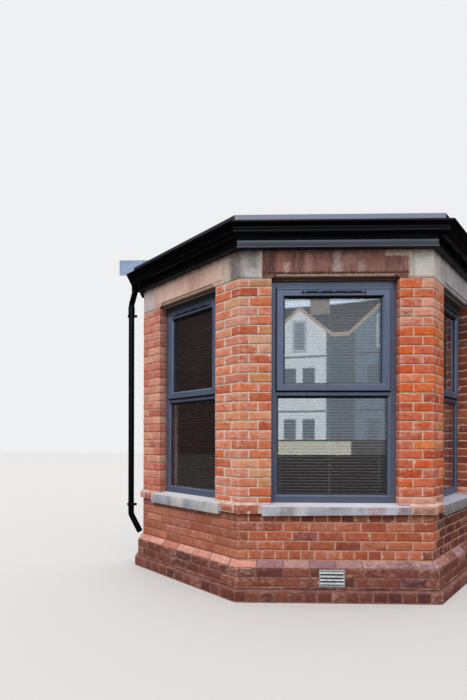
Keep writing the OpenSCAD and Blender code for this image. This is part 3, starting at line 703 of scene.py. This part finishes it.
head_stone(("lintel_front",), "lintel_red", (116, 76, 70), (158, 112, 102), (
    (-0.67, -0.54, 2.93, 3.2, 0.8, (80, 54, 52), 1.5),
    (-0.53, -0.39, 2.95, 3.15, 0.75, (160, 104, 88), 2.5),
    (-0.475, -0.415, 2.95, 3.05, 0.8, (200, 180, 172), 1.0, 0.015, 0.02),
    (-0.38, -0.28, 2.95, 3.16, 0.6, (102, 66, 62), 2.2),
    (-0.28, -0.2, 2.95, 3.13, 0.7, (176, 134, 124), 3.3),
    (-0.02, 0.045, 2.96, 3.15, 0.75, (188, 172, 168), 2.0, 0.015, 0.02),
    (-0.04, 0.07, 2.95, 3.05, 0.55, (180, 162, 160), 2.7),
    (0.07, 0.2, 3.03, 3.13, 0.6, (172, 134, 120), 6.1, 0.03, 0.05, 30),
    (0.2, 0.28, 2.96, 3.06, 0.7, (178, 158, 156), 3.0),
    (0.28, 0.44, 2.96, 3.15, 0.6, (162, 114, 100), 4.2),
    (0.44, 0.54, 2.95, 3.1, 0.6, (118, 90, 76), 4.8),
    (0.445, 0.7, 3.108, 3.165, 0.95, (206, 190, 166), 5.0, 0.01, 0.01),
    (0.65, 0.7, 2.9, 3.2, 0.85, (226, 208, 186), 6.0, 0.006, 0.012),
    # painted highlight along the roll's crest
    (-0.53, 0.54, 2.928, 2.95, 1.0, (214, 186, 168), 7.0, 0.005, 0.01, 9),
    # painted shade in the quirk above the roll
    (-0.7, 0.7, 2.949, 2.969, 0.9, (58, 36, 32), 8.0, 0.004, 0.004),
), streak=((-0.67, 0.67), 0.6, (176, 140, 130), 4.0))
head_stone(("lintel_left",), "lintel_buff", (218, 186, 172), (204, 164, 148), (
    (-1.62, -1.5, 2.97, 3.2, 0.6, (220, 198, 186), 9.0, 0.03, 0.05),
    (-1.36, -1.2, 2.97, 3.2, 0.6, (176, 132, 116), 12.0, 0.03, 0.05),
    (-1.1, -0.98, 2.97, 3.2, 0.6, (218, 196, 182), 5.0, 0.03, 0.05),
    # painted shade in the quirk
    (-1.9, -0.8, 2.948, 2.96, 0.7, (110, 82, 72), 8.0, 0.004, 0.006),
))
head_stone(("lintel_right",), "lintel_grey", (204, 198, 204), (180, 172, 178), (
    (0.95, 1.15, 2.97, 3.2, 0.6, (176, 156, 148), 9.5, 0.03, 0.05),
    (1.35, 1.6, 2.97, 3.2, 0.6, (166, 150, 150), 2.5, 0.03, 0.05),
    # painted shade in the quirk
    (0.8, 1.9, 2.948, 2.96, 0.6, (110, 96, 92), 8.0, 0.004, 0.006),
))
head_stone(("corner_stone_left",), "corner_grey", (170, 164, 158), (150, 143, 137), (
    (-1.2, -0.945, 2.9, 3.2, 0.9, (212, 190, 172), 1.0),
    (-0.95, -0.86, 2.9, 3.2, 0.85, (96, 90, 86), 2.0, 0.02, 0.03, 12),
    (-0.855, -0.79, 2.98, 3.09, 0.65, (182, 178, 176), 3.0),
    (-0.82, -0.66, 2.9, 3.0, 0.8, (208, 204, 208), 4.0),
    (-0.9, -0.66, 3.11, 3.2, 0.5, (92, 72, 62), 4.6),
    (-0.705, -0.65, 2.92, 3.16, 0.8, (196, 194, 188), 5.5, 0.01, 0.012),
))
head_stone(("corner_stone_right",), "corner_cream", (222, 215, 206), (204, 197, 188), (
    (0.67, 0.71, 2.9, 3.2, 0.6, (150, 146, 124), 1.0),
    (0.74, 0.84, 3.02, 3.12, 0.7, (206, 206, 214), 2.0, 0.03, 0.05),
    (0.68, 0.95, 3.1, 3.2, 0.6, (160, 146, 122), 3.0, 0.02, 0.05),
    (0.72, 0.86, 2.9, 2.95, 0.6, (214, 196, 186), 4.0),
))
head_stone(("end_stone_left", "end_stone_right"), "end_grey", (208, 194, 192), (190, 176, 174),
           streak=((-1.95, -1.6), 0.4, (160, 140, 128), 5.0))


def sill_stone(side, base, other, top, spots):
    """A sill, top being the tone of what faces up. The spots reach over its whole height, so they give no z.

    Its worn nose hangs lower than the string course: evenly at the sides, at the front less towards the right.
    """
    spots = [(x0, x1, 0.7, 0.9, *rest) for x0, x1, *rest in spots]
    g, col = stone(f"sill_{side}_stone", base, other, spots, (118, 112, 114), 6.0)
    col = g.over(col, srgb(*top), g.facing("Z"), 0.6, 0.9, 0.85)
    # painted shade on what faces down
    g.done(g.over(col, srgb(60, 48, 46), g.facing("Z"), -0.3, -0.7))
    bm = node_bmesh("sill_" + side)
    to_local = side_matrix(SIDES[side]).inverted()
    for v in bm.verts:
        q = to_local @ v.co
        if q.y < -0.002 and q.z < SILL_Z + 0.012:
            v.co.z -= 0.032 if side != "front" else 0.010 - 0.014 * q.x
    soften(bm, 0.003)
    add_bmesh("sill_stone_" + side, bm, g.mat, "sill_" + side)


sill_stone("left", (196, 192, 190), (144, 146, 154), (206, 204, 206), (
    (-1.76, -1.6, 0.6, (150, 158, 174), 3.0),
    (-1.54, -1.4, 0.6, (200, 194, 188), 4.0),
    (-1.34, -1.22, 0.7, (150, 152, 162), 5.0),
    (-1.12, -1.02, 0.6, (206, 202, 198), 6.0),
    (-1.02, -0.925, 0.7, (146, 148, 158), 1.0)))
sill_stone("front", (202, 201, 212), (156, 154, 164), (206, 200, 206), (
    (-0.64, -0.54, 0.6, (172, 180, 190), 5.0),
    (-0.5, -0.38, 0.8, (146, 138, 138), 5.5),
    (-0.38, -0.28, 0.6, (208, 206, 208), 2.0),
    (-0.26, 0.1, 0.6, (152, 146, 156), 2.4),
    (0.27, 0.44, 0.8, (168, 134, 132), 1.0),
    (0.45, 0.53, 0.6, (196, 198, 210), 3.0),
    (0.54, 0.7, 0.8, (146, 116, 124), 4.0),
))
sill_stone("right", (140, 138, 136), (122, 120, 118), (176, 174, 188), (
    (0.93, 1.0, 0.6, (170, 164, 158), 3.0),))

# pointing between stones, rubbed flush with the faces
soup = Soup()
rng = random.Random(23)
for u, w in ((C2 + PIER_W - 0.088 - 0.006, 0.020), (C3 - PIER_W + 0.088 + 0.004, 0.012),
             (C2 - PIER_W + 0.088, 0.012), (C1 + PIER_W - 0.088, 0.012),
             (C3 + PIER_W - 0.088, 0.012), (C4 - PIER_W + 0.088, 0.012)):
    brick(soup, FACE, u - w / 2, u + w / 2, HEAD_Z + 0.001, PLATE_Z - 0.014, rng, out=0.0025, rough=1.5,
          step=0.012, depth=0.006)
add_piece("stone_joints", soup.mesh("stone_joints", True), MORTAR["white"], smooth=60)

# ---- windows
# painted shade: on what faces down, and under the side windows' heads
SHADE, HEAD_SHADE = srgb(12, 15, 24), srgb(34, 38, 48)
FRAME = dict(rough=0.34, coat=0.08, spec=0.35, under=SHADE)
SASH = dict(rough=0.32, coat=0.1, spec=0.35, under=SHADE)
# frames are painted a little darker than their sashes, as painted shade
SASH_GREY = paint("sash_paint", (88, 98, 122), **SASH)
FRONT_PAINT = (paint("frame_paint", (84, 92, 113), **FRAME), SASH_GREY)
SIDE_PAINT = (paint("frame_paint_side", (82, 89, 110), head_shade=HEAD_SHADE, **FRAME),
              paint("sash_paint_side", (86, 95, 118), head_shade=HEAD_SHADE, **SASH))
RUBBER_AND_SHADE = paint("rubber_and_painted_shade", (8, 10, 16), 0.7, spec=0.2)
for side in SIDES:
    frame_paint, sash_paint = FRONT_PAINT if side == "front" else SIDE_PAINT
    dressed("frame_" + side, frame_paint, bevel=0.0014)
    dressed("sash_" + side, sash_paint, bevel=0.0018)
dressed("trickle_vents", SASH_GREY, bevel=0.0012)


def glass_material():
    """Clear glass that mirrors more as it is seen more from the side. Each pane mirrors at the face it is met at.

    The factor stands for the four surfaces of a double glazed unit on a bright day.
    """
    g = Material("window_glass", 0.0, Metallic=1.0, Base_Color=(0.94, 0.96, 0.97, 1))
    clear = g.node("ShaderNodeBsdfTransparent", {"Color": (0.985, 0.992, 0.990, 1)})
    fresnel = g.node("ShaderNodeFresnel", {"IOR": 1.5})
    met = g.minus(1.0, g.node("ShaderNodeNewGeometry").outputs["Backfacing"])
    g.put(g.out.inputs["Surface"], g.mix_shaders(g.times(fresnel.outputs[0], 2.5, met), clear, g.bsdf))
    return g.mat


GLASS = glass_material()
for side in SIDES:
    skin("glazing_" + side, GLASS)


def loop(soup, m, half, z0, z1, t, y0, y1):
    """A rectangular ring of flat bars, t thick, that reaches from -half to half."""
    soup.box(m, (-half, y0, z0), (half, y1, z0 + t))
    soup.box(m, (-half, y0, z1 - t), (half, y1, z1))
    soup.box(m, (-half, y0, z0 + t), (-half + t, y1, z1 - t))
    soup.box(m, (half - t, y0, z0 + t), (half, y1, z1 - t))


# seals round the panes; a dark strip round each sash on the frame's face, a seal that stands also for painted
# shade in the gap; dark strips over the vent hoods' slots as painted shade in them, and end caps of the hoods
SEAL, SASH_LAP = 0.0045, 0.009
SLOTS, SLOT_PITCH = 4, 0.130
for side, turn in SIDES.items():
    m = side_matrix(turn)
    w, recess = OPEN_W[side], RECESS[side]
    soup = Soup()
    sash_w = w - 2 * (FRAME_W + SASH_GAP)
    sash_z0 = PIER_Z + TRANSOM_Z + TRANSOM_H + SASH_GAP
    sash_z1 = PIER_Z + OPEN_H - FRAME_W - SASH_GAP - HEAD_RAIL
    loop(soup, m, w / 2 - FRAME_W - BEAD_W, PIER_Z + FRAME_W + BEAD_W, PIER_Z + TRANSOM_Z - BEAD_W, SEAL,
         recess + 0.0135, recess + 0.018)
    loop(soup, m, sash_w / 2 - SASH_W, sash_z0 + SASH_W, sash_z1 - SASH_W, SEAL, recess + 0.003, recess + 0.008)
    # the strip round the sash: a seal, and painted shade beside the proud sash
    loop(soup, m, sash_w / 2 + SASH_LAP, sash_z0 - SASH_LAP, sash_z1 + HEAD_RAIL + SASH_LAP, 0.0088,
         recess - 0.0012, recess + 0.01)
    z, y = sash_z1 + HEAD_RAIL - HOOD_BELOW, recess - SASH_PROUD - HOOD_D
    # painted shade in the hood's slots: a dark strip over each
    for k in range(SLOTS):
        x = -SLOTS * SLOT_PITCH / 2 + (k + 0.5) * SLOT_PITCH
        soup.box(m, (x - 0.057, y - 0.0008, z - 0.0062), (x + 0.057, y + 0.002, z + 0.0062))
    for x in (-HOOD_W / 2 + 0.006, HOOD_W / 2 - 0.006):
        soup.box(m, (x - 0.006, y - 0.0008, z - 0.008), (x + 0.006, y + 0.010, z + 0.008))
    add_piece("seals_and_shade_strips_" + side, soup.mesh("seals_and_shade_strips_" + side), RUBBER_AND_SHADE)

# ---- blinds
BLIND_Y, BLIND_GAP, RAIL = 0.185, 0.015, 0.025  # middle, gap above and beside, head rail
SLAT_PITCH, SLAT_D, SLAT_TILT, SLAT_T, SLAT_RISE = 0.0287, 0.035, math.radians(-17), 0.0006, 0.0028
# the same slats in two tones: darker in the side windows as painted shade, paler in the front as painted light
BLIND = {"left": paint("blind_slat", (110, 94, 90), 0.4),
         "front": paint("blind_slat_lit", (160, 166, 170), 0.4)}
BLIND["right"] = BLIND["left"]
# a slat's hollow section, and the faces that join its two ends
upper = [(a * SLAT_D, SLAT_RISE * (1 - 4 * a * a)) for a in (s / 6 - 0.5 for s in range(7))]
section = upper + [(y, z - SLAT_T) for y, z in reversed(upper)]
n = len(section)
faces = [(i, (i + 1) % n, n + (i + 1) % n, n + i) for i in range(n)]
faces += [tuple(range(n - 1, -1, -1)), tuple(range(n, 2 * n))]
for side, turn in SIDES.items():
    m = side_matrix(turn)
    w = OPEN_W[side] - 2 * BLIND_GAP - 0.016
    top = PIER_Z + OPEN_H - BLIND_GAP - RAIL
    low = PIER_Z + 0.025 + 0.012
    soup = Soup()
    rng = random.Random(31 + turn)
    for k in range(1, int((top - low - 0.025) / SLAT_PITCH) + 1):
        z_mid = top - k * SLAT_PITCH + rng.uniform(-0.0006, 0.0006)
        lean = SLAT_TILT + rng.uniform(-0.02, 0.02)
        turned = [(y * math.cos(lean) - z * math.sin(lean), y * math.sin(lean) + z * math.cos(lean))
                  for y, z in section]
        soup.add([m @ Vector((x, BLIND_Y + y, z_mid + z)) for x in (-w / 2, w / 2) for y, z in turned], faces)
    for z0, z1 in ((top, top + RAIL), (low, low + 0.014)):
        soup.box(m, (-w / 2, BLIND_Y - RAIL / 2, z0), (w / 2, BLIND_Y + RAIL / 2, z1))
    # ladder cords
    for x in (-(w / 2 - 0.09), 0.0, w / 2 - 0.09):
        for y in (-0.0165, 0.0165):
            soup.box(m, (x - 0.0011, BLIND_Y + y - 0.0006, low), (x + 0.0011, BLIND_Y + y + 0.0006, top))
    name = "blind_slats_" + side
    add_piece(name, soup.mesh(name), BLIND[side], ("blind_" + side,), smooth=30)

# ---- eaves, gutter, pipes, roof
# a heavy dusting on what faces up, standing also for a painted highlight on the up-turned edges of gutter and
# pipes
BLACK = paint("gutter_plastic", (5, 5, 7), 0.25, spec=0.08, dust_and_highlight=0.9)


def eaves_paint():
    """Nearly black on the canted sides; on the front a painted reflection of the bright sky in grey, palest in
    its upper part as painted light in the shade under the gutter.
    """
    g = Material("eaves_paint", 0.5)
    g.bump(g.noise(200, 2, 0.5), 0.0002, 0.2)
    # painted reflection of the sky on the front, paler upwards as painted light in the shade under the gutter
    front = g.over(srgb(152, 158, 178), srgb(212, 224, 248), g.axis("Z"), PLATE_Z + 0.024, PLATE_Z + 0.058)
    worn = g.band(g.noise(6, 3, 0.5, stretch=(0.3, 1, 1)), 0.35, 0.65, 0, 0.6)
    front = g.mix(worn, front, (0.75, 0.77, 0.80, 1), "MULTIPLY")
    return g.done(g.over(srgb(6, 6, 8), front, g.facing("Y"), -0.80, -0.95))


for node in ("gutter_left", "gutter_front", "gutter_right"):
    dressed(node, BLACK, smooth=35)
for node in ("swan_neck", "downpipe", "pipe_shoe", "pipe_brackets"):
    dressed(node, BLACK, smooth=40)
dressed("fascia_soffit", BLACK, bevel=0.001)
dressed("bed_mould", eaves_paint(), smooth=35)


def roof_skin():
    """Felt on top; a drip edge, dark at the sides and pale at the front, where the pale is a painted reflection
    of the sky.
    """
    g = Material("roof_felt", 0.7)
    g.bump(g.noise(500, 2, 0.7), 0.0008, 0.3)
    top = g.over(srgb(108, 112, 124), srgb(128, 132, 146), g.noise(3, 5, 0.6), 0.35, 0.7)
    top = g.over(top, srgb(150, 154, 166), g.noise(420, 2, 0.6), 0.55, 0.7, 0.4)
    # painted reflection of the sky on the drip edge's front
    edge = g.over(srgb(16, 17, 20), srgb(142, 146, 164), g.facing("Y"), -0.80, -0.95)
    return g.done(g.over(edge, top, g.facing("Z"), 0.3, 0.6))


def timber(name, light, dark, along=(0.06, 1, 1)):
    """along shrinks the grain's noise in the direction of the boards."""
    return two_tone(name, 0.7, light, dark, (55, 4, 0.6, along, (0, 0, 0), 0.4), 0.35, 0.65,
                    (90, 3, 0.6, along), 0.0006, 0.5)


def plaster(name, colour):
    return two_tone(name, 0.85, colour, (216, 212, 204), (2.5, 4, 0.6), 0.35, 0.7,
                    (140, 3, 0.6), 0.0005, 0.4, most=0.3)


LEAD = two_tone("lead_sheet", 0.55, (126, 144, 174), (150, 166, 192), (7, 5, 0.65), 0.3, 0.7,
                (20, 3, 0.5), 0.004, 0.5, metal=0.1)
ALLOY = two_tone("vent_alloy", 0.42, (206, 206, 204), (168, 164, 158), (30, 5, 0.7), 0.4, 0.7,
                 (200, 3, 0.6), 0.0004, 0.5, metal=0.6)
dressed("roof_covering", roof_skin(), bevel=0.0015)
dressed("lead_flashing", LEAD, bevel=0.001)
dressed("roof_deck", timber("deck_board", (196, 160, 118), (168, 130, 92)))
skin("roof_frame", timber("joist_timber", (204, 168, 122), (176, 136, 94), (1, 0.06, 1)))
skin("wall_plaster", plaster("wall_paint", (232, 229, 222)))
skin("ceiling", plaster("ceiling_paint", (240, 239, 236)))
skin("bay_floor", timber("floor_boards", (176, 132, 92), (142, 102, 68)))
dressed("window_boards", paint("gloss_white", (234, 232, 226), 0.25), bevel=0.002, smooth=35)
dressed("air_vent", ALLOY, bevel=0.0008)


# ---- floor, backdrop, light and camera
def sheet(name, corners, material):
    mesh = bpy.data.meshes.new(name)
    mesh.from_pydata(corners, [], [(0, 1, 2, 3)])
    mesh.materials.append(material)
    return new_object(name, mesh)


def floor_material():
    """A pale floor to the camera; light and gloss meet darker ground, as under the bay in the photo."""
    g = Material("studio_floor", 0.9, Specular_IOR_Level=0.1)
    path = g.node("ShaderNodeLightPath")
    ground = g.mix(path.outputs["Is Glossy Ray"], (0.32, 0.31, 0.30, 1), (0.05, 0.05, 0.045, 1))
    return g.done(g.mix(path.outputs["Is Camera Ray"], ground, (0.64, 0.63, 0.62, 1)))


def room_material():
    """A dim room behind the open back: seen only from the window side, and never by the light."""
    mat = bpy.data.materials.new("dim_room")
    g = Graph(mat)
    path = g.node("ShaderNodeLightPath")
    seen = g.maths("MAXIMUM", path.outputs["Is Camera Ray"], path.outputs["Is Glossy Ray"])
    seen = g.maths("MAXIMUM", seen, path.outputs["Is Transmission Ray"])
    front = g.minus(1.0, g.node("ShaderNodeNewGeometry").outputs["Backfacing"])
    dark = g.node("ShaderNodeEmission", {"Color": srgb(34, 22, 22)})
    shader = g.mix_shaders(g.times(seen, front), g.node("ShaderNodeBsdfTransparent"), dark)
    g.node("ShaderNodeOutputMaterial", {"Surface": shader})
    return mat


floor = sheet("floor", [(-40, -40, 0), (40, -40, 0), (40, 40, 0), (-40, 40, 0)], floor_material())

x = HALF_WALL - WALL_T + 0.02
room = sheet("dim_room", [(-x, 0.03, 0.28), (x, 0.03, 0.28), (x, 0.03, 3.24), (-x, 0.03, 3.24)], room_material())

# the street that gloss sees: a gable's plot in radians, and where the first one starts
GABLE_STEP, GABLE_START = 0.185, -0.6165


def studio_world():
    """White light, stronger from above than from the horizon, and a pale backdrop. Gloss sees a bright sky, a row
    of gables in front, and dark sides.

    Places are a bearing in radians from straight out of the front, and the sine of the angle above the horizon.
    """
    world = bpy.data.worlds.new("studio")
    bpy.context.scene.world = world
    g = Graph(world, "Generated")
    height, depth = g.axis("Z"), g.axis("Y")
    bearing = g.maths("ARCTAN2", g.axis("X"), g.times(depth, -1.0))
    # distance from the middle of the nearest gable
    along = g.maths("FRACT", g.maths("DIVIDE", g.plus(bearing, -GABLE_START), GABLE_STEP))
    apart = g.times(g.maths("ABSOLUTE", g.minus(along, 0.5)), GABLE_STEP)
    verge = g.maths("MAXIMUM", g.minus(0.300, g.times(apart, 0.8)), 0.240)
    below = g.minus(verge, height)

    def between(value, low, high):
        return g.times(g.band(value, low - 0.002, low + 0.001), g.band(value, high + 0.001, high - 0.002))

    def opening(wall, near, far, low, high, tint):
        return g.mix(g.times(between(apart, near, far), between(height, low, high)), wall, tint)

    wall = g.over((2.5, 2.75, 2.95, 1), (0.75, 0.95, 1.2, 1), bearing, 0.30, 0.34)
    wall = g.over(wall, (0.55, 0.66, 0.78, 1), apart, 0.058, 0.064)
    # window under each gable, two bands right across, and rows of windows on either hand
    wall = opening(wall, -1, 0.017, 0.205, 0.275, (1.7, 1.9, 2.1, 1))
    wall = opening(wall, -1, 0.012, 0.212, 0.270, (0.9, 1.1, 1.35, 1))
    for low, high in ((0.193, 0.197), (0.068, 0.072)):
        wall = opening(wall, -1, 0.060, low, high, (0.6, 0.65, 0.7, 1))
    for low, high in ((0.132, 0.170), (0.004, 0.052)):
        wall = opening(wall, 0.008, 0.036, low, high, (0.6, 0.72, 0.85, 1))
    roof = g.over((0.42, 0.45, 0.52, 1), (2.9, 3.4, 4.1, 1), height, 0.300, 0.304)
    stack = g.times(g.band(bearing, 0.239, 0.242), g.band(bearing, 0.286, 0.283))
    roof = g.mix(g.times(stack, g.band(height, 0.282, 0.285)), roof, (1.1, 1.0, 0.95, 1))
    front = g.over(roof, (1.7, 1.4, 1.2, 1), below, -0.006, -0.002)
    front = g.over(front, wall, below, 0.003, 0.006)
    # kerb line, garden wall and hedge
    hedge = g.over((0.14, 0.20, 0.15, 1), (0.95, 0.90, 0.92, 1), g.noise(14, 5, 0.75), 0.42, 0.60)
    cream = g.over((2.1, 2.05, 1.75, 1), (0.35, 0.36, 0.38, 1), bearing, 0.329, 0.334)
    front = g.over(front, (0.4, 0.3, 0.28, 1), height, 0.004, 0.002)
    front = g.over(front, cream, height, 0.000, -0.002)
    front = g.over(front, hedge, height, -0.045, -0.050)
    gloss = g.over((0.040, 0.028, 0.028, 1), front, depth, -0.25, -0.70)
    gloss = g.over(gloss, (1.0, 1.05, 1.15, 1), height, 0.45, 0.80)
    path = g.node("ShaderNodeLightPath")
    sky = g.over((0.36, 0.36, 0.36, 1), (1.2, 1.2, 1.21, 1), height, -0.1, 1.0)
    colour = g.mix(path.outputs["Is Glossy Ray"], sky, gloss)
    colour = g.mix(path.outputs["Is Camera Ray"], colour, (0.86, 0.87, 0.88, 1))
    light = g.node("ShaderNodeBackground", {"Color": colour})
    g.node("ShaderNodeOutputWorld", {"Surface": light.outputs[0]})


studio_world()

sun_data = bpy.data.lights.new("key", "SUN")
sun_data.energy = 1.42
sun_data.angle = math.radians(24)
sun = new_object("key", sun_data)
sun.rotation_euler = (math.radians(43), 0, math.radians(-32))

# the camera fitted to the photo: focal length, and the photo's height, middle and optical axis, in pixels
FOCAL_PX, PHOTO_H, PHOTO_MID, AXIS_PX = 410.54, 700, (233.5, 350), (199.2, 440.84)
EYE, EYE_TURN = (-1.145, -4.960, 1.435), (1.302, -0.017, -0.137)  # turn: yaw, pitch and roll in degrees
cam_data = bpy.data.cameras.new("view")
cam_data.sensor_width = 36
cam_data.lens = FOCAL_PX * cam_data.sensor_width / PHOTO_H
cam_data.shift_x = (PHOTO_MID[0] - AXIS_PX[0]) / PHOTO_H
cam_data.shift_y = (AXIS_PX[1] - PHOTO_MID[1]) / PHOTO_H
cam_data.clip_start = 0.05
cam = new_object("view", cam_data)
yaw, pitch, roll = (math.radians(a) for a in EYE_TURN)
across, level = Vector((math.cos(yaw), math.sin(yaw), 0)), Vector((-math.sin(yaw), math.cos(yaw), 0))
plumb = Vector((0, 0, 1))
ahead = math.cos(pitch) * level + math.sin(pitch) * plumb
above = -math.sin(pitch) * level + math.cos(pitch) * plumb
right = math.cos(roll) * across - math.sin(roll) * above
up = math.sin(roll) * across + math.cos(roll) * above
cam.matrix_world = Matrix.Translation(EYE) @ Matrix(
    [[right[i], up[i], -ahead[i], 0] for i in range(3)] + [[0, 0, 0, 1]])
bpy.context.scene.camera = cam
bpy.context.scene.view_settings.view_transform = "Standard"
